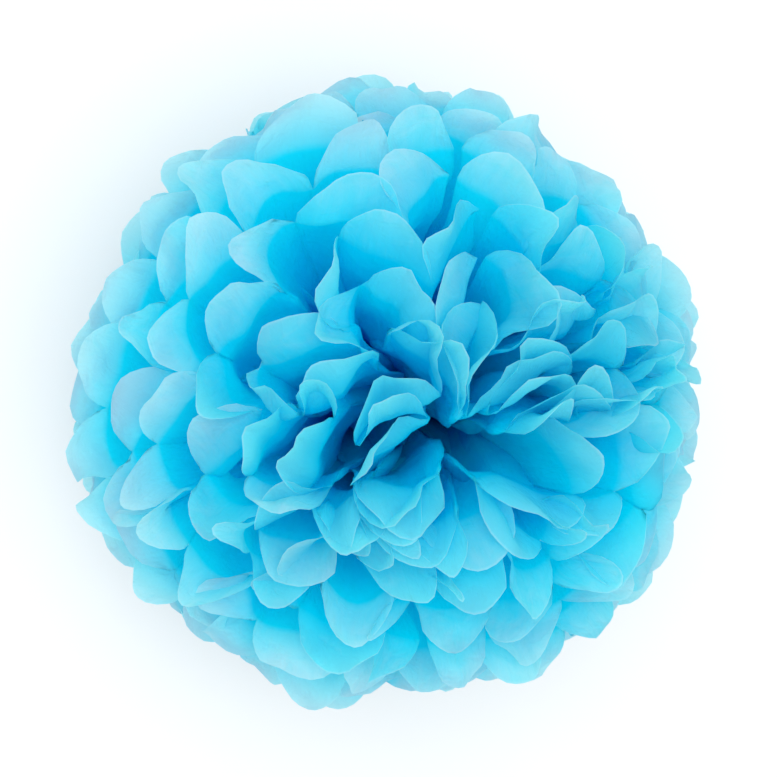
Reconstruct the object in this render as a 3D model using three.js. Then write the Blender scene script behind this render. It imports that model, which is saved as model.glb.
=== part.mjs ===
// A tissue paper pom pom, in millimetres, +Z up. Sixteen sheets of tissue are stacked, pleated together,
// tied round the waist with wire and cut round at both ends. Then they are pulled apart one by one into
// a ball of petals: eight sheets fan upwards and eight fan downwards, on both sides of the tie.
// The origin is the bottom centre. The ball rests on the tips of its lowest petals, which are bent flat.

import * as THREE from "three";

const DEGREE = Math.PI / 180;

// The sheets
const SHEET_COUNT = 16;
const PANEL_COUNT = 12; // pleats across a sheet
const PANEL_WIDTH = 33; // from fold to fold
const HALF_LENGTH = 125; // from the tie to a petal's tip, which is the ball's radius
const PAPER_THICKNESS = 0.3;

// The ball
const LOWEST_FAN_ANGLE = 7; // degrees from the level to the flattest fans
const STEEPEST_FAN_ANGLE = 76;
const FAN_HALF_SPREAD = 89.5; // degrees each way from X that half a sheet fans out
const STEEPEST_PLEAT = 12; // degrees that a fold can lean from its fan
const CENTRE_HEIGHT = 106; // the tie's height, which is less than the radius because the ball settles
const FOOT_CLEARANCE = 3; // from the surface to the lowest petals that don't touch it

// The tie
const WAIST_HALF_LENGTH = 2.4; // from the wire's plane to where the steepest sheets turn away
const WAIST_STEP = 0.35; // how much further each flatter sheet goes before it turns
const WAIST_WIDTH = 12; // of the middle sheets, which are the widest ones in the round tied bundle
const WAIST_PITCH = 0.8; // from sheet to sheet in the bundle
const WAIST_ROUNDNESS = 3; // from 0, for sheets of one width, to 4, where the outermost has no width
const FANNED_REACH = 24; // from the tie to where the sheets have taken their fans' directions
const HALVES_APART = 1.8; // from the plane of the wire to each half's centre
const WIRE_DIAMETER = 0.9;
const WIRE_CLEARANCE = 0.4;
const TWIST_TURNS = 4;
const TWIST_PITCH = 4;
const TWIST_RADIUS = 0.65; // from the twist's axis to the middle of either wire
const TWIST_LEAD = 2; // from the loop to where the two ends start to twist
const LOOP_CORNER_RADIUS = 2;
const POINTS_PER_TURN = 10;
const WIRE_SIDES = 6;
const WIRE_STEPS = 110;

// A petal is a panel that ends in a half circle. The bend is where a foot petal's tip turns flat.
const PETAL_RADIUS = PANEL_WIDTH / 2;
const NOTCH_REACH = HALF_LENGTH - PETAL_RADIUS; // from the tie to the notch between two petals
const BENT_LENGTH = 5;
const BEND_REACH = HALF_LENGTH - BENT_LENGTH;
const BEND_HALF_CHORD = Math.sqrt(PETAL_RADIUS ** 2 - (PETAL_RADIUS - BENT_LENGTH) ** 2);
const OPEN_REACH = 60; // from the tie to where the pleats are free to lean
const FOLD_REACHES = [11, FANNED_REACH, OPEN_REACH, NOTCH_REACH]; // where the fold lines have points
const FOOT_SWING = 4.5; // how far a foot petal's flat tip points sideways, away from its neighbour
const LEAST_MITER = 0.45; // keeps the paper's two faces from running far apart along a sharp fold

const tissue = new THREE.MeshStandardMaterial({
  color: "#22b5ea",
  roughness: 0.85,
  metalness: 0,
});
const steel = new THREE.MeshStandardMaterial({ color: "#b9bcc0", roughness: 0.35, metalness: 1 });

// The elevation of a sheet's fans above the level, in radians. Sheet 0 is the lowest.
function fanElevation(sheet) {
  const half = SHEET_COUNT / 2;
  const upper = sheet >= half;
  const order = upper ? sheet - half : half - 1 - sheet;
  const step = (STEEPEST_FAN_ANGLE - LOWEST_FAN_ANGLE) / (half - 1);
  return (upper ? 1 : -1) * (LOWEST_FAN_ANGLE + order * step) * DEGREE;
}

// The share of its reach that a direction keeps above the surface that the ball rests on.
function settledShare(elevation, sheet) {
  const foot = sheet === 0;
  const room = CENTRE_HEIGHT - (foot ? PAPER_THICKNESS / 2 : FOOT_CLEARANCE);
  const touching = foot ? BEND_REACH : HALF_LENGTH;
  return elevation < 0 ? Math.min(1, room / (touching * Math.sin(-elevation))) : 1;
}

// Where fold line `fold` leaves the tie, from the centre of its half.
function waistPoint(sheet, fold) {
  const level = sheet - (SHEET_COUNT - 1) / 2;
  const width = WAIST_WIDTH * Math.sqrt(1 - WAIST_ROUNDNESS * (level / SHEET_COUNT) ** 2);
  return new THREE.Vector3(
    WAIST_HALF_LENGTH + (SHEET_COUNT / 2 - Math.abs(level)) * WAIST_STEP - HALVES_APART,
    (fold / PANEL_COUNT - 0.5) * width,
    level * WAIST_PITCH,
  );
}

// A point on a fold line, `reach` along the paper from the tie, from the centre of its half. The line
// leaves the tie in its own direction and turns to the fan's, and every second fold leans the other way.
function fannedPoint(sheet, fold, reach) {
  const tied = waistPoint(sheet, fold);
  const spread = (2 * FAN_HALF_SPREAD * DEGREE) / PANEL_COUNT;
  const fan = fanElevation(sheet);
  const chord = 2 * reach * Math.cos(fan) * Math.sin(spread / 2);
  const pleatHeight = Math.sqrt(PANEL_WIDTH ** 2 - chord ** 2);
  const freedom = Math.min(1, reach / OPEN_REACH);
  const lean = Math.min(pleatHeight / (2 * reach), freedom * STEEPEST_PLEAT * DEGREE);
  const turned = THREE.MathUtils.smoothstep(reach, 0, FANNED_REACH);
  const azimuth = THREE.MathUtils.lerp(
    Math.atan2(tied.y, tied.x),
    (fold - PANEL_COUNT / 2) * spread,
    turned,
  );
  const elevation = THREE.MathUtils.lerp(
    Math.atan2(tied.z, Math.hypot(tied.x, tied.y)),
    fan + (fold % 2 ? lean : -lean),
    turned,
  );
  const settled = reach * settledShare(elevation, sheet);
  const out = settled * Math.cos(elevation);
  return new THREE.Vector3(
    out * Math.cos(azimuth),
    out * Math.sin(azimuth),
    settled * Math.sin(elevation),
  );
}

// Places a point of the half towards +X (`side` 1) or, mirrored, of the half towards -X (`side` -1).
function place(point, side) {
  return new THREE.Vector3(side * (point.x + HALVES_APART), point.y, point.z + CENTRE_HEIGHT);
}

// The three points of a petal's round end beyond the notches, from fold `panel` to the next fold.
function petalPoints(sheet, side, panel) {
  const across = (reach, offset) => {
    const from = fannedPoint(sheet, panel, reach);
    const to = fannedPoint(sheet, panel + 1, reach);
    return place(from.lerp(to, 0.5 + offset / PANEL_WIDTH), side);
  };
  const near = across(BEND_REACH, -BEND_HALF_CHORD);
  const tip = across(HALF_LENGTH, 0);
  const far = across(BEND_REACH, BEND_HALF_CHORD);
  if (sheet === 0) {
    near.z = PAPER_THICKNESS / 2;
    far.z = PAPER_THICKNESS / 2;
    const upright = new THREE.Vector3(0, 0, side);
    const sideways = upright.cross(near.clone().sub(far)).normalize();
    tip.addVectors(near, far).multiplyScalar(0.5).addScaledVector(sideways, FOOT_SWING);
  }
  return [near, tip, far];
}

// Gives an open surface its thickness. `border` runs round it anticlockwise, seen from the side that
// its triangles face.
function thicken(points, triangles, border) {
  const normals = points.map(() => []);
  for (const [a, b, c] of triangles) {
    const normal = new THREE.Triangle(points[a], points[b], points[c]).getNormal(new THREE.Vector3());
    for (const corner of [a, b, c]) normals[corner].push(normal);
  }
  const offsets = normals.map((around) => {
    const mean = around.reduce((sum, n) => sum.add(n), new THREE.Vector3()).normalize();
    const slant = Math.max(LEAST_MITER, Math.min(...around.map((n) => n.dot(mean))));
    return mean.multiplyScalar(PAPER_THICKNESS / 2 / slant);
  });
  const top = points.map((p, i) => p.clone().add(offsets[i]));
  const bottom = points.map((p, i) => p.clone().sub(offsets[i]));
  for (const p of [...top, ...bottom]) if (p.z < PAPER_THICKNESS / 2) p.z = 0;
  const under = points.length;
  const index = triangles.flatMap(([a, b, c]) => [a, b, c, under + a, under + c, under + b]);
  border.forEach((a, i) => {
    const b = border[(i + 1) % border.length];
    index.push(under + a, under + b, b, under + a, b, a);
  });
  const geometry = new THREE.BufferGeometry().setFromPoints([...top, ...bottom]);
  geometry.setIndex(index);
  geometry.computeVertexNormals();
  return geometry;
}

// One sheet, from its petals towards -X, through the tie, to its petals towards +X.
function sheetGeometry(sheet) {
  const folds = Array.from({ length: PANEL_COUNT + 1 }, (_, fold) => fold);
  const half = [
    folds.map((fold) => waistPoint(sheet, fold)),
    ...FOLD_REACHES.map((reach) => folds.map((fold) => fannedPoint(sheet, fold, reach))),
  ];
  const rows = [
    ...half.toReversed().map((row) => row.map((point) => place(point, -1))),
    ...half.map((row) => row.map((point) => place(point, 1))),
  ];
  const points = rows.flat();
  const at = (row, fold) => row * folds.length + fold;
  const triangles = [];
  for (let row = 0; row < rows.length - 1; row++) {
    for (let fold = 0; fold < PANEL_COUNT; fold++) {
      triangles.push([at(row, fold), at(row + 1, fold), at(row + 1, fold + 1)]);
      triangles.push([at(row, fold), at(row + 1, fold + 1), at(row, fold + 1)]);
    }
  }

  // The petals' ends, and the edge that runs round them
  const edges = { "-1": [at(0, 0)], 1: [at(rows.length - 1, 0)] };
  for (const side of [-1, 1]) {
    const row = side > 0 ? rows.length - 1 : 0;
    for (let panel = 0; panel < PANEL_COUNT; panel++) {
      const first = points.length;
      points.push(...petalPoints(sheet, side, panel));
      const [near, tip, far] = [first, first + 1, first + 2];
      const [left, right] = [at(row, panel), at(row, panel + 1)];
      const end = [[left, near, right], [near, far, right], [near, tip, far]];
      triangles.push(...(side > 0 ? end : end.map((t) => t.toReversed())));
      edges[side].push(near, tip, far, right);
    }
  }
  const between = rows.map((_, row) => row).slice(1, -1);
  const border = [
    ...edges[1],
    ...between.toReversed().map((row) => at(row, PANEL_COUNT)),
    ...edges[-1].toReversed(),
    ...between.map((row) => at(row, 0)),
  ];
  return thicken(points, triangles, border);
}

// The wire goes once round the tied stack, and its two ends are twisted together towards +Y.
function wireGeometry() {
  const stackHeight = (SHEET_COUNT - 1) * WAIST_PITCH + PAPER_THICKNESS;
  const margin = WIRE_CLEARANCE + WIRE_DIAMETER / 2;
  const loopY = WAIST_WIDTH / 2 + margin;
  const loopZ = stackHeight / 2 + margin;
  const twist = (phase) =>
    Array.from({ length: TWIST_TURNS * POINTS_PER_TURN + 1 }, (_, i) => {
      const turns = i / POINTS_PER_TURN;
      const angle = phase + turns * 2 * Math.PI;
      return new THREE.Vector3(
        TWIST_RADIUS * Math.cos(angle),
        loopY + TWIST_LEAD + turns * TWIST_PITCH,
        TWIST_RADIUS * Math.sin(angle),
      );
    });
  const corner = (y, z, from) =>
    [0, 0.5, 1].map((share) => {
      const angle = (from + share * 90) * DEGREE;
      return new THREE.Vector3(
        0,
        y + (Math.cos(angle) - Math.sign(y)) * LOOP_CORNER_RADIUS,
        z + (Math.sin(angle) - Math.sign(z)) * LOOP_CORNER_RADIUS,
      );
    });
  const path = [
    ...twist(90 * DEGREE).toReversed(),
    ...corner(loopY, loopZ, 0).slice(1),
    ...corner(-loopY, loopZ, 90),
    ...corner(-loopY, -loopZ, 180),
    ...corner(loopY, -loopZ, 270).slice(0, -1),
    ...twist(-90 * DEGREE),
  ];
  const route = new THREE.CatmullRomCurve3(path, false, "centripetal");
  const section = new THREE.Shape(
    Array.from({ length: WIRE_SIDES }, (_, i) => {
      const angle = (i / WIRE_SIDES) * 2 * Math.PI;
      return new THREE.Vector2(Math.cos(angle), Math.sin(angle)).multiplyScalar(WIRE_DIAMETER / 2);
    }),
  );
  const form = { steps: WIRE_STEPS, extrudePath: route, bevelEnabled: false };
  return new THREE.ExtrudeGeometry(section, form);
}

const group = new THREE.Group();

for (let sheet = 0; sheet < SHEET_COUNT; sheet++) {
  const mesh = new THREE.Mesh(sheetGeometry(sheet), tissue.clone());
  mesh.name = "sheet_" + String(sheet + 1).padStart(2, "0");
  group.add(mesh);
}

const wire = new THREE.Mesh(wireGeometry(), steel);
wire.name = "binding_wire";
wire.position.z = CENTRE_HEIGHT;
group.add(wire);

export default group;
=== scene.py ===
"""A tissue paper pom pom on a pale table, seen from above. Metres, +Z up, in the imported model's frame.

Each of the sixteen sheets is one piece of pleated tissue. It runs from its petals towards -X, through
the tie, to its petals towards +X. Its fold lines leave the tie together and fan out, and the paper
between two folds is a panel that ends in a round petal. Inside the functions, lengths are in
millimetres from the centre of the tie, and angles in radians. Side 0 is the half towards -X, which is
worked out towards +X and then mirrored.
"""

import math

import bmesh
import bpy
import numpy as np
from mathutils import Matrix, Vector


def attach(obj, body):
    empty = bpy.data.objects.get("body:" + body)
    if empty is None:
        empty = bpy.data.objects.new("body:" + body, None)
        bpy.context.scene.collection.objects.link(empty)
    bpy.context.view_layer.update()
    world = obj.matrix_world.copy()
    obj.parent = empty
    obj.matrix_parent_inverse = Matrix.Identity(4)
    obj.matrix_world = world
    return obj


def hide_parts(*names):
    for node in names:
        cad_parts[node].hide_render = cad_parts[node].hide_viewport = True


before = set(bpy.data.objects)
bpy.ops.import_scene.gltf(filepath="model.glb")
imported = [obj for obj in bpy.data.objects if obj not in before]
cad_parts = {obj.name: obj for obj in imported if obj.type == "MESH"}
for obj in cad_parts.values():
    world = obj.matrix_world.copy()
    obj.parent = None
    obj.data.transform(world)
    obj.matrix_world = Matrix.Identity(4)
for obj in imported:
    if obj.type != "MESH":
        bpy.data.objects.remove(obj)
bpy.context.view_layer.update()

MM = 0.001
DEGREE = math.pi / 180
TINY = 1e-6  # keeps a division from failing

# The sheets, as they were cut
HALVES = 2
SHEETS = 16
PANELS = 12
PANEL_WIDTH = 33.0
HALF_LENGTH = 125.0
PETAL_RADIUS = PANEL_WIDTH / 2
NOTCH_REACH = HALF_LENGTH - PETAL_RADIUS

# The tie
HALVES_APART = 1.5  # from the tie's middle to where each half starts
WAIST_WIDTH = 12.0  # of the middle sheets in the round bundle
WAIST_ROUNDNESS = 3.0  # from 0, for sheets of one width, to 4, where the outermost has no width
WAIST_PITCH = 0.8  # from sheet to sheet in the bundle
TIED_REACH = 9.0  # where the folds are free of the tie
FANNED_REACH = 26.0  # where the sheets have taken their fans' directions
OPEN_REACH = 34.0  # where a panel is as wide as it was cut
FREE_REACH = 44.0  # where a fold has its full turn and lift

# The ball
CENTRE_HEIGHT = 106.0
LOWEST_FAN = 7 * DEGREE
STEEPEST_FAN = 79 * DEGREE
HIGHEST_FOLD = 88 * DEGREE
PANEL_SPREAD = 180 * DEGREE / PANELS
POLE_LEAN = np.array([9.0, -6.0, 0.0])  # how far the top of the flower leans aside
POLE_LEAN_FROM = 0.35  # the sine of the elevation where the lean starts
POLE_LEAN_POWER = 1.2
SETTLE_DEPTH = 6.0  # how gently the lowest petals meet the table
SETTLED_CORE = 18.0  # keeps petals right under the ball from being pushed far aside
LARGEST_EXPONENT = 40.0

# The folds. "Steep" is 1 at the steepest fan and nearly 0 at the level ones.
STAGGER = 3.7 * DEGREE  # every second sheet is turned by this much each way
STEEP_STAGGER_LOSS = 0.7
BUNCHING = 0.5  # how much closer together the folds are in the middle of a bunched side
BUNCHED_AT = 25 * DEGREE
SLANT_SPREAD = 60 * DEGREE  # from straight up, for the way a steep sheet's folds lean
STEEPEST_LEAN = 0.46  # as a share of the distance from the tie
FOLD_SHARE = 0.94  # of the paper's width, which a pleat's depth is worked out from
STEEP_FOLD_GAIN = 0.05
CURL_REACH = 52.0  # where a fold starts to curl away from the pole
CURL_POWER = 1.7
POLE_CURL = 7 * DEGREE
SHARED_TURN = 0.9  # degrees, as the next three are
OWN_TURN = 0.6
OWN_LIFT = 1.2
OWN_CURL = 2.0
RELAXING_PASSES = 12

# The petals
FLATTEST_CUP = 0.65  # as a share of the deepest
DEEPEST_SAG = 8.5
STEEP_SAG_LOSS = 1.5
ARC_RISE = 0.375  # a shallow arc's rise is the root of this share of its length times its slack
BEND = 48  # degrees, as the next three are
BEND_SPREAD = 26
LEAST_BEND = -20
MOST_BEND = 95
STEEP_BEND_LOSS = 0.55
TIGHTEST_BEND = 1.0  # the least radius of a bend
WIDEST_BEND = 4.0
SKEW = 0.12  # how far a petal points aside, as a share
FADE = 0.2  # how much paler or deeper a petal's dye is
FADE_FROM = 90.0  # where a petal's own fading starts
OUTER_REACH = 70.0  # beyond this, a panel's rows say which way it faces

# The paper's unevenness, in how far it moves the paper, and how fast that grows away from the tie
DRIFT_SIZE, DRIFT_POWER = 3.6, 1.5
RIPPLE_SIZE, RIPPLE_POWER = 2.6, 2.5
NICK_SIZE, NICK_POWER = 0.55, 8
RUFFLE_SIZE, RUFFLE_POWER = 1.9, 6
CREASE_SIZE = 1.3
CREASES_FROM = 10.0
CREASES_FULL = 90.0

# The mesh
COLUMNS = 14  # of faces across a panel
BODY_ROWS = 42
TIP_ROWS = 11
ROW_CROWDING = 1.25  # brings the rows closer together towards the rim
WELD_DISTANCE = 1e-6  # metres

rng = np.random.default_rng(8)


def smoothstep(x, low, high):
    """0 up to low and 1 from high, with a smooth rise between them."""
    t = np.clip((x - low) / (high - low), 0, 1)
    return t * t * (3 - 2 * t)


def unit(vectors):
    """The vectors with a length of 1."""
    return vectors / np.maximum(np.linalg.norm(vectors, axis=-1, keepdims=True), TINY)


def triangle_wave(x):
    """A wave from -1 to 1 with straight slopes."""
    return np.arcsin(np.sin(x)) * (2 / math.pi)


def noise(count, wavelength, axes=3, shape=np.sin):
    """A random field, of vectors or of one number, about 1 in size. Triangle waves give it creases."""
    waves = unit(rng.normal(size=(count, 3))) * (2 * math.pi / wavelength)
    waves *= rng.uniform(0.7, 1.3, (count, 1))
    phases = rng.uniform(0, 2 * math.pi, count)
    pushes = unit(rng.normal(size=(count, axes))) * math.sqrt(2 / count)
    return lambda points: shape(points @ waves.T + phases) @ pushes


def drawn(draw, mirrored=False):
    """Random values for each half and fold. The halves' edges meet, so they share their values."""
    values = draw((HALVES, PANELS + 1))
    for edge in (0, PANELS):
        values[0, edge] = values[1, edge] * (-1 if mirrored else 1)
    return values


# What each fold and petal does. Shared values are alike on all sheets, which were pleated in one stack.
shared_turn = drawn(lambda shape: rng.normal(0, SHARED_TURN, shape), mirrored=True) * DEGREE
shared_slant = drawn(lambda shape: rng.uniform(-1, 1, shape), mirrored=True)
shared_curl = drawn(lambda shape: rng.uniform(0, 1, shape))
own_turn, own_lift, own_curl = [
    [drawn(lambda shape: rng.normal(0, spread, shape), mirrored) * DEGREE for _ in range(SHEETS)]
    for spread, mirrored in ((OWN_TURN, True), (OWN_LIFT, False), (OWN_CURL, False))
]
each_petal = (SHEETS, HALVES, PANELS)
petal_cup = rng.uniform(FLATTEST_CUP, 1.0, each_petal)
petal_bend = np.clip(rng.normal(BEND, BEND_SPREAD, each_petal), LEAST_BEND, MOST_BEND) * DEGREE
petal_softness = rng.uniform(TIGHTEST_BEND, WIDEST_BEND, each_petal)
petal_skew = rng.normal(0, SKEW, each_petal)
petal_fade = rng.uniform(-FADE, FADE, each_petal)

drift = noise(14, wavelength=110)
ripple = noise(18, wavelength=40)
nicks = noise(24, wavelength=12)
ruffle = noise(20, wavelength=18, axes=1)
crumple = noise(10, wavelength=24, axes=1, shape=triangle_wave)


def fan_elevation(sheet):
    """The elevation of a sheet's fans. Sheet 0 is the lowest."""
    half = SHEETS // 2
    upper = sheet >= half
    order = sheet - half if upper else half - 1 - sheet
    angle = LOWEST_FAN + order * (STEEPEST_FAN - LOWEST_FAN) / (half - 1)
    return angle if upper else -angle


def directions(azimuth, elevation):
    """Unit vectors out along a direction, round the vertical axis and up towards the top pole."""
    ca, sa, ce, se = np.cos(azimuth), np.sin(azimuth), np.cos(elevation), np.sin(elevation)
    out = np.stack([ce * ca, ce * sa, se], -1)
    around = np.stack([-sa, ca, np.zeros_like(sa)], -1)
    up = np.stack([-se * ca, -se * sa, ce], -1)
    return out, around, up


def bundle_level(sheet):
    """A sheet's place in the tied bundle, counted up from its middle."""
    return sheet - (SHEETS - 1) / 2


def waist_width(sheet):
    """A sheet's width in the tie. The bundle is round, so its outer sheets are narrower there."""
    return WAIST_WIDTH * math.sqrt(1 - WAIST_ROUNDNESS * (bundle_level(sheet) / SHEETS) ** 2)


def steepness(sheet):
    """How near a sheet's fans are to the steepest ones, from nearly 0 to 1."""
    return abs(fan_elevation(sheet)) / STEEPEST_FAN


def open_width(reach):
    """How wide a panel has opened, at a distance from the tie that crushes it."""
    return PANEL_WIDTH * np.clip(reach / OPEN_REACH, 0, 1)


def fold_line(sheet, side, fold, reach):
    """Points on a fold line, at the given distances along it."""
    fan = fan_elevation(sheet)
    pole = math.copysign(1, fan)
    steep = steepness(sheet)
    free = smoothstep(reach, 0, FREE_REACH)
    stagger = STAGGER * (1 - STEEP_STAGGER_LOSS * steep) * (1 if (sheet + side) % 2 else -1)
    turn = stagger + shared_turn[side, fold] * (1 + steep) + own_turn[sheet][side, fold]
    lift = own_lift[sheet][side, fold]
    curl = steep * POLE_CURL * shared_curl[side, fold] + own_curl[sheet][side, fold]
    curled = np.clip((reach - CURL_REACH) / (HALF_LENGTH - CURL_REACH), 0, 1) ** CURL_POWER
    azimuth = (fold - PANELS / 2) * PANEL_SPREAD

    # Two opposite sides of the ball are bunched, with deep pleats, and the two between them are more open.
    offset = 2 * ((azimuth if side else math.pi - azimuth) - BUNCHED_AT)
    bunched = BUNCHING * steep
    turn = turn - bunched / 2 * math.sin(offset) * (1 if side else -1)
    azimuth = azimuth + turn * free
    elevation = fan + lift * free - pole * curl * curled

    # Every second fold leans to the other side, straight up or at a slant, but not over the pole. Folds
    # next to each other share their slant in pairs.
    slant = 90 * DEGREE + SLANT_SPREAD * steep * shared_slant[side, fold // 2 * 2]
    paper = open_width(reach) * (FOLD_SHARE + STEEP_FOLD_GAIN * steep)
    arc = reach * np.cos(elevation) * PANEL_SPREAD * (1 - bunched * math.cos(offset))
    depth = np.sqrt(np.maximum(paper**2 - (arc * math.sin(slant)) ** 2, 0)) - arc * abs(math.cos(slant))
    lean = np.clip(depth / 2, 0, reach * STEEPEST_LEAN) * (1 if fold % 2 else -1)
    room = HIGHEST_FOLD - np.abs(lean) * math.sin(slant) / np.maximum(reach, 1)
    elevation = np.clip(elevation, -room, room)

    # In the tie the folds lie side by side, and they turn from there into their fans.
    tied = np.array([1.0, (fold / PANELS - 0.5) * waist_width(sheet), bundle_level(sheet) * WAIST_PITCH])
    turned = smoothstep(reach, 0, FANNED_REACH)
    tied_azimuth = math.atan2(tied[1], tied[0])
    tied_elevation = math.atan2(tied[2], math.hypot(tied[0], tied[1]))
    azimuth = tied_azimuth + (azimuth - tied_azimuth) * turned
    elevation = tied_elevation + (elevation - tied_elevation) * turned
    out, around, up = directions(azimuth, elevation)
    leaning = around * math.cos(slant) + up * math.sin(slant) * pole
    points = unit(out * reach[:, None] + leaning * lean[:, None]) * reach[:, None]
    near_tie = (1 - smoothstep(reach, 0, TIED_REACH))[:, None]
    return points * (1 - near_tie) + tied * near_tie


def relaxed(folds):
    """Paper doesn't stretch, so fold lines that are further apart than a panel's width move together."""
    for _ in range(RELAXING_PASSES):
        for first in (0, 1):
            low, high = folds[first:-1:2], folds[first + 1::2]
            gap = high - low
            width = np.linalg.norm(gap, axis=-1, keepdims=True)
            excess = np.maximum(1 - PANEL_WIDTH / np.maximum(width, TINY), 0) / 2
            low += gap * excess
            high -= gap * excess
    return folds


def bent(distance, angle, radius):
    """How far ahead and aside a strip reaches that bends over an arc and then runs straight."""
    arc = np.minimum(distance, radius * abs(angle))
    turned = arc / radius
    rest = distance - arc
    ahead = radius * np.sin(turned) + rest * np.cos(turned)
    aside = radius * (1 - np.cos(turned)) + rest * np.sin(turned)
    return ahead, math.copysign(1, angle) * aside


def panel_points(sheet, side, panel, first, second, reach, across, tip_length):
    """One panel's points from the tie to the notches, and on round its petal's cupped and bent tip."""
    steep = steepness(sheet)
    body = first[:, None] + (second - first)[:, None] * across[None, :, None]
    chord = second - first
    width = np.linalg.norm(chord, axis=-1)
    along = unit(np.gradient((first + second) / 2, axis=0))

    # Every panel sags towards the level, away from its pole.
    normal = unit(np.cross(unit(chord), along))
    middle = unit((first + second) / 2)
    up = directions(np.arctan2(middle[:, 1], middle[:, 0]), np.arcsin(middle[:, 2].clip(-1, 1)))[2]
    facing = (normal * up).sum(-1)[reach > OUTER_REACH].mean() * fan_elevation(sheet)
    normal = normal * -math.copysign(1, facing)
    paper = open_width(reach)
    hump = 4 * across * (1 - across)
    sag = np.sqrt(np.maximum(ARC_RISE * paper * (paper - width), 0))
    sag = np.minimum(sag, DEEPEST_SAG - STEEP_SAG_LOSS * steep) * petal_cup[sheet, side, panel]
    body = body + normal[:, None] * (sag[:, None] * hump[None, :])[..., None]

    bend = petal_bend[sheet, side, panel] * (1 - STEEP_BEND_LOSS * steep)
    ahead, aside = bent(tip_length, bend, petal_softness[sheet, side, panel])
    forward = unit(along[-1] + unit(chord[-1]) * petal_skew[sheet, side, panel])
    tip = body[-1][None] + forward * ahead[..., None] + normal[-1] * aside[..., None]
    return np.concatenate([body, tip])


def wrinkled(grid):
    """The grid with the paper's own creases and its wavy rim, which move it to and fro face on."""
    facing = unit(np.cross(np.gradient(grid, axis=1), np.gradient(grid, axis=0)))
    # A notch is one point in all the rows of the tips, so it takes one direction.
    facing[BODY_ROWS:, ::COLUMNS] = facing[BODY_ROWS - 1, ::COLUMNS]
    distance = np.linalg.norm(grid, axis=-1, keepdims=True)
    creases = crumple(grid) * CREASE_SIZE * smoothstep(distance, CREASES_FROM, CREASES_FULL)
    waves = ruffle(grid) * RUFFLE_SIZE * (distance / HALF_LENGTH) ** RUFFLE_POWER
    return grid + facing * (creases + waves)


def half_sheet(sheet, side):
    """A grid of points from the tie to the rim, and how far along the paper each of them is."""
    across = (1 - np.cos(np.arange(COLUMNS + 1) / COLUMNS * math.pi)) / 2
    reach = NOTCH_REACH * (1 - (1 - np.arange(1, BODY_ROWS + 1) / BODY_ROWS) ** ROW_CROWDING)
    tip_end = np.sqrt(np.maximum(PETAL_RADIUS**2 - ((across - 0.5) * PANEL_WIDTH) ** 2, 0))
    tip_length = (np.arange(1, TIP_ROWS + 1) / TIP_ROWS)[:, None] * tip_end[None, :]
    folds = relaxed(np.stack([fold_line(sheet, side, fold, reach) for fold in range(PANELS + 1)]))
    reaches = np.zeros((BODY_ROWS + TIP_ROWS, PANELS * COLUMNS + 1))
    grid = np.zeros((*reaches.shape, 3))
    for panel in range(PANELS):
        at = slice(panel * COLUMNS, (panel + 1) * COLUMNS + 1)
        grid[:, at] = panel_points(
            sheet, side, panel, folds[panel], folds[panel + 1], reach, across, tip_length
        )
        reaches[:BODY_ROWS, at] = reach[:, None]
        reaches[BODY_ROWS:, at] = NOTCH_REACH + tip_length
    return wrinkled(grid), reaches


def fluffed(points):
    """The uneven drift and ripple of the whole ball, which grow away from the tie."""
    distance = np.linalg.norm(points, axis=-1, keepdims=True)
    share = distance / HALF_LENGTH
    upward = smoothstep(points[..., 2:] / np.maximum(distance, TINY), POLE_LEAN_FROM, 1.0)
    moved = points + drift(points) * DRIFT_SIZE * share**DRIFT_POWER
    moved = moved + ripple(points) * RIPPLE_SIZE * share**RIPPLE_POWER
    moved = moved + nicks(points) * NICK_SIZE * share**NICK_POWER
    return moved + POLE_LEAN * upward * share**POLE_LEAN_POWER


def soft_positive(lengths):
    """The lengths, with a smooth end at 0 in place of anything below it."""
    exponent = np.clip(lengths / SETTLE_DEPTH, -LARGEST_EXPONENT, LARGEST_EXPONENT)
    return SETTLE_DEPTH * np.log1p(np.exp(exponent))


def settled(points):
    """The lowest petals bend outwards where they meet the table. Heights are from the table here."""
    height = points[..., 2]
    pressed = soft_positive(height)
    radius = np.maximum(np.hypot(points[..., 0], points[..., 1]), TINY)
    share = 1 + soft_positive(-height) / (radius + SETTLED_CORE)
    return np.stack([points[..., 0] * share, points[..., 1] * share, pressed], -1)


def add_attribute(mesh, name, values, kind="FLOAT"):
    """Give each point of a mesh a number, or a vector, for its material."""
    attribute = mesh.attributes.new(name, kind, "POINT")
    field = "value" if kind == "FLOAT" else "vector"
    attribute.data.foreach_set(field, values.ravel().astype(np.float32))


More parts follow.
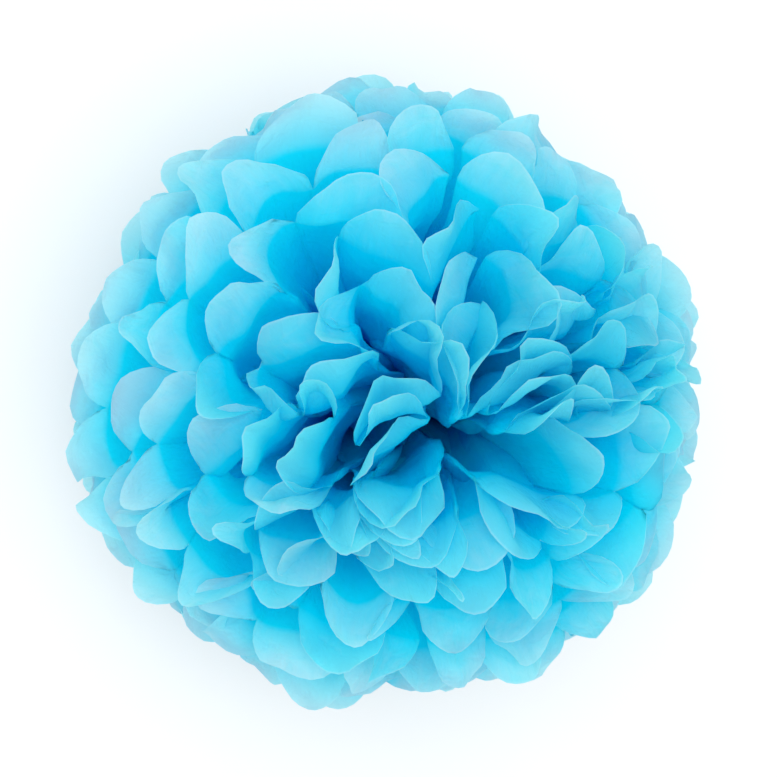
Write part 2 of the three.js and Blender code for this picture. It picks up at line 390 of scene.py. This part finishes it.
def sheet_piece(sheet):
    """One sheet from the petals of its half at -X, through the tie, to the petals at +X."""
    columns = PANELS * COLUMNS + 1
    minus, minus_reach = half_sheet(sheet, 0)
    plus, plus_reach = half_sheet(sheet, 1)
    apart = np.array([HALVES_APART, 0, 0])
    middle = np.zeros((1, columns, 3))
    middle[0, :, 1] = (np.arange(columns) / (columns - 1) - 0.5) * waist_width(sheet)
    middle[0, :, 2] = bundle_level(sheet) * WAIST_PITCH
    points = np.concatenate([(minus + apart)[::-1] * [-1, 1, 1], middle, plus + apart])
    points = settled(fluffed(points) + [0, 0, CENTRE_HEIGHT])
    along = np.concatenate([-minus_reach[::-1], np.zeros((1, columns)), plus_reach])
    index = np.arange(points.shape[0] * columns).reshape(-1, columns)
    faces = np.stack([index[:-1, :-1], index[1:, :-1], index[1:, 1:], index[:-1, 1:]], -1).reshape(-1, 4)
    mesh = bpy.data.meshes.new(f"paper_{sheet + 1:02d}")
    mesh.from_pydata((points.reshape(-1, 3) * MM).tolist(), [], faces.tolist())
    mesh.polygons.foreach_set("use_smooth", np.ones(len(faces), bool))

    # Painted light: the colour is paler round the ball's middle height, standing in for light from the
    # table shining through the paper, and some petals are paler or deeper at random.
    level = np.abs(points[..., 2] - CENTRE_HEIGHT) / HALF_LENGTH
    panel = np.minimum(np.arange(columns) // COLUMNS, PANELS - 1)
    petal = np.where(along > 0, petal_fade[sheet, 1, panel], petal_fade[sheet, 0, panel])
    painted_light_and_fade = 1 - level + petal * smoothstep(np.abs(along), FADE_FROM, NOTCH_REACH)
    # Painted highlight: the first and last rows are marked as cut edges, which the material paints paler.
    rim = np.zeros(along.shape)
    rim[[0, -1]] = 1

    # Places on the flat paper, in metres. Each sheet starts a metre further on, so none is patterned alike.
    place = np.broadcast_to(np.arange(columns) * (PANEL_WIDTH / COLUMNS), along.shape)
    spots = np.stack([place * MM, along * MM + sheet, np.zeros_like(along)], -1)
    add_attribute(mesh, "reach", np.abs(along) / HALF_LENGTH)
    add_attribute(mesh, "painted_light_and_fade", painted_light_and_fade.clip(0, 1))
    add_attribute(mesh, "rim", rim)
    add_attribute(mesh, "on_sheet", spots, "FLOAT_VECTOR")

    # The rows of a tip meet in one point at each notch.
    welded = bmesh.new()
    welded.from_mesh(mesh)
    bmesh.ops.remove_doubles(welded, verts=welded.verts, dist=WELD_DISTANCE)
    welded.to_mesh(mesh)
    welded.free()
    mesh.update()
    piece = bpy.data.objects.new(f"paper_{sheet + 1:02d}", mesh)
    bpy.context.scene.collection.objects.link(piece)
    return piece


# Socket numbers of a colour Mix node, whose socket names repeat
MIX_FIRST = 6
MIX_SECOND = 7
MIX_RESULT = 2
BLACK = (0, 0, 0, 1)
WHITE = (1, 1, 1, 1)


def tissue_material():
    """Thin dyed paper: it scatters some light back and lets some through. Painted shade makes it deepest
    near the tie, and painted light makes the petals' tips, cut edges and the ball's middle height paler.
    """
    material = bpy.data.materials.new("tissue_paper")
    material.use_nodes = True
    nodes, links = material.node_tree.nodes, material.node_tree.links
    nodes.clear()

    def node(kind, **inputs):
        made = nodes.new(kind)
        for name, value in inputs.items():
            made.inputs[name.replace("_", " ")].default_value = value
        return made

    def attribute(name, output):
        made = nodes.new("ShaderNodeAttribute")
        made.attribute_name = name
        return made.outputs[output]

    reach = attribute("reach", "Fac")
    rim = attribute("rim", "Fac")
    on_sheet = attribute("on_sheet", "Vector")

    def ramp(source, *stops):
        """A colour ramp of (position, colour) stops."""
        made = nodes.new("ShaderNodeValToRGB")
        elements = made.color_ramp.elements
        elements[0].position, elements[0].color = stops[0]
        elements[1].position, elements[1].color = stops[-1]
        for position, colour in stops[1:-1]:
            elements.new(position).color = colour
        links.new(source, made.inputs["Fac"])
        return made.outputs["Color"]

    # Fibres run along the sheet, so their noise is stretched that way. Wrinkles run every way.
    stretched = nodes.new("ShaderNodeMapping")
    stretched.inputs["Scale"].default_value = (1.0, 0.12, 1.0)
    links.new(on_sheet, stretched.inputs["Vector"])
    streaks = node("ShaderNodeTexNoise", Scale=500.0, Detail=3.0, Roughness=0.6)
    links.new(stretched.outputs["Vector"], streaks.inputs["Vector"])
    wrinkles = node("ShaderNodeTexNoise", Scale=130.0, Detail=4.0, Roughness=0.55, Distortion=0.8)
    links.new(on_sheet, wrinkles.inputs["Vector"])

    def weighted_sum(weight, weighted, other):
        """One value times a weight, plus another."""
        made = nodes.new("ShaderNodeMath")
        made.operation = "MULTIPLY_ADD"
        made.inputs[1].default_value = weight
        links.new(weighted, made.inputs[0])
        links.new(other, made.inputs[2])
        return made.outputs["Value"]

    height = weighted_sum(0.5, streaks.outputs["Fac"], wrinkles.outputs["Fac"])
    bump = node("ShaderNodeBump", Strength=0.7, Distance=0.0016)
    links.new(height, bump.inputs["Height"])
    # Painted light: the mix between the deep and pale colours follows the painted paleness at the ball's
    # middle height, besides random mottling.
    mottle_and_painted_light = weighted_sum(0.45, height, attribute("painted_light_and_fade", "Fac"))

    # The colour from the tie to the rim. Painted shade makes it deepest near the tie, and painted light
    # makes it paler where the petals start, where their bent tips catch the light.
    deep = ramp(
        reach,
        (0.25, (0.0, 0.42, 1.0, 1)),
        (0.60, (0.0, 0.82, 1.0, 1)),
        (0.858, (0.0, 0.84, 0.985, 1)),
        (0.876, (0.04, 0.84, 0.96, 1)),
        (1.0, (0.26, 0.86, 0.92, 1)),
    )
    pale = ramp(
        reach,
        (0.25, (0.0, 0.48, 1.0, 1)),
        (0.60, (0.0, 0.83, 1.0, 1)),
        (0.858, (0.01, 0.845, 0.975, 1)),
        (0.876, (0.20, 0.88, 0.955, 1)),
        (1.0, (0.69, 0.905, 0.92, 1)),
    )

    def mix_node(first):
        """A colour mix whose second colour and factor are still to be set."""
        made = nodes.new("ShaderNodeMix")
        made.data_type = "RGBA"
        links.new(first, made.inputs[MIX_FIRST])
        return made

    body = mix_node(deep)
    links.new(ramp(mottle_and_painted_light, (0.55, BLACK), (1.0, WHITE)), body.inputs["Factor"])
    links.new(pale, body.inputs[MIX_SECOND])

    # Painted highlight: the colour is paler along a cut edge, standing in for light caught by the paper's
    # edge.
    painted_rim_highlight = mix_node(body.outputs[MIX_RESULT])
    links.new(ramp(rim, (0.4, BLACK), (1.0, (0.6, 0.6, 0.6, 1))), painted_rim_highlight.inputs["Factor"])
    painted_rim_highlight.inputs[MIX_SECOND].default_value = (0.66, 0.93, 0.95, 1)
    # This colour is the dye together with painted shade near the tie and painted light on the tips, cut
    # edges and middle height.
    dye_and_painted_light = painted_rim_highlight.outputs[MIX_RESULT]

    # Light that passes through the sheet takes on more of the dye.
    through = mix_node(dye_and_painted_light)
    through.blend_type = "MULTIPLY"
    through.inputs["Factor"].default_value = 1.0
    through.inputs[MIX_SECOND].default_value = (0.6, 0.95, 1.0, 1)

    output = nodes.new("ShaderNodeOutputMaterial")
    mix = nodes.new("ShaderNodeMixShader")
    principled = nodes.new("ShaderNodeBsdfPrincipled")
    translucent = nodes.new("ShaderNodeBsdfTranslucent")
    principled.inputs["Roughness"].default_value = 0.8
    principled.inputs["Specular IOR Level"].default_value = 0.03
    links.new(dye_and_painted_light, principled.inputs["Base Color"])
    links.new(through.outputs[MIX_RESULT], translucent.inputs["Color"])
    links.new(bump.outputs["Normal"], principled.inputs["Normal"])
    links.new(bump.outputs["Normal"], translucent.inputs["Normal"])
    mix.inputs[0].default_value = 0.62
    links.new(principled.outputs[0], mix.inputs[1])
    links.new(translucent.outputs[0], mix.inputs[2])
    links.new(mix.outputs[0], output.inputs[0])
    return material


def plain_material(name, colour, roughness):
    material = bpy.data.materials.new(name)
    material.use_nodes = True
    principled = material.node_tree.nodes["Principled BSDF"]
    principled.inputs["Base Color"].default_value = (*colour, 1)
    principled.inputs["Roughness"].default_value = roughness
    return material


def drawn_wire_material():
    """Steel wire: bright, with fine uneven dulling from the drawing and the twisting."""
    material = plain_material("steel_wire", (0.55, 0.56, 0.58), 0.35)
    nodes, links = material.node_tree.nodes, material.node_tree.links
    principled = nodes["Principled BSDF"]
    principled.inputs["Metallic"].default_value = 1.0
    place = nodes.new("ShaderNodeTexCoord")
    grain = nodes.new("ShaderNodeTexNoise")
    grain.inputs["Scale"].default_value = 2500.0
    grain.inputs["Detail"].default_value = 3.0
    links.new(place.outputs["Object"], grain.inputs["Vector"])
    dulling = nodes.new("ShaderNodeMapRange")
    dulling.inputs["To Min"].default_value = 0.25
    dulling.inputs["To Max"].default_value = 0.5
    links.new(grain.outputs["Fac"], dulling.inputs["Value"])
    links.new(dulling.outputs["Result"], principled.inputs["Roughness"])
    bump = nodes.new("ShaderNodeBump")
    bump.inputs["Strength"].default_value = 0.3
    bump.inputs["Distance"].default_value = 0.00005
    links.new(grain.outputs["Fac"], bump.inputs["Height"])
    links.new(bump.outputs["Normal"], principled.inputs["Normal"])
    return material


paper = tissue_material()
for sheet in range(SHEETS):
    piece = sheet_piece(sheet)
    piece.data.materials.append(paper)
    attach(piece, "root")
    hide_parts(f"sheet_{sheet + 1:02d}")

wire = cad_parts["binding_wire"]
wire.data.materials.clear()
wire.data.materials.append(drawn_wire_material())

# The table
TABLE_SIZE = 6
bpy.ops.mesh.primitive_plane_add(size=TABLE_SIZE, location=(0, 0, 0))
table = bpy.context.object
table.name = "table"
table.data.materials.append(plain_material("table", (0.91, 0.91, 0.905), 0.6))

# The camera looks down on the flower. The pole's picture lies to the lower right of the ball's centre.
centre = Vector((0, 0, CENTRE_HEIGHT * MM))
aim = centre + Vector((-0.0005, 0.0022, 0))
distance = 0.592
tilt = 11 * DEGREE
swing = 150 * DEGREE
back = Vector((math.sin(tilt) * math.cos(swing), math.sin(tilt) * math.sin(swing), math.cos(tilt)))
camera = bpy.data.objects.new("camera", bpy.data.cameras.new("camera"))
bpy.context.scene.collection.objects.link(camera)
camera.data.lens = 70
camera.data.sensor_width = 36
up = Vector((0, 1, 0))
right = up.cross(back).normalized()
up = back.cross(right).normalized()
turn = Matrix((right, up, back)).transposed()
camera.rotation_mode = "QUATERNION"
camera.rotation_quaternion = turn.to_quaternion()
camera.location = aim + back * distance
bpy.context.scene.camera = camera


def area_light(name, direction, distance, size, power):
    """A round white light in a direction from the ball, turned towards it."""
    light = bpy.data.lights.new(name, "AREA")
    light.shape = "DISK"
    light.size = size
    light.energy = power
    lamp = bpy.data.objects.new(name, light)
    bpy.context.scene.collection.objects.link(lamp)
    lamp.location = centre + Vector(direction).normalized() * distance
    lamp.rotation_mode = "QUATERNION"
    lamp.rotation_quaternion = Vector(direction).normalized().to_track_quat("Z", "Y")


area_light("key", direction=(-0.25, 0.5, 1.3), distance=1.4, size=0.8, power=4.4)
area_light("fill", direction=(0.12, -0.08, 1.3), distance=1.6, size=1.0, power=5)
world = bpy.data.worlds.new("world")
bpy.context.scene.world = world
world.use_nodes = True
world.node_tree.nodes["Background"].inputs[0].default_value = (0.975, 0.985, 1.0, 1)
world.node_tree.nodes["Background"].inputs[1].default_value = 0.94
bpy.context.scene.view_settings.view_transform = "Standard"
bpy.context.scene.view_settings.look = "None"
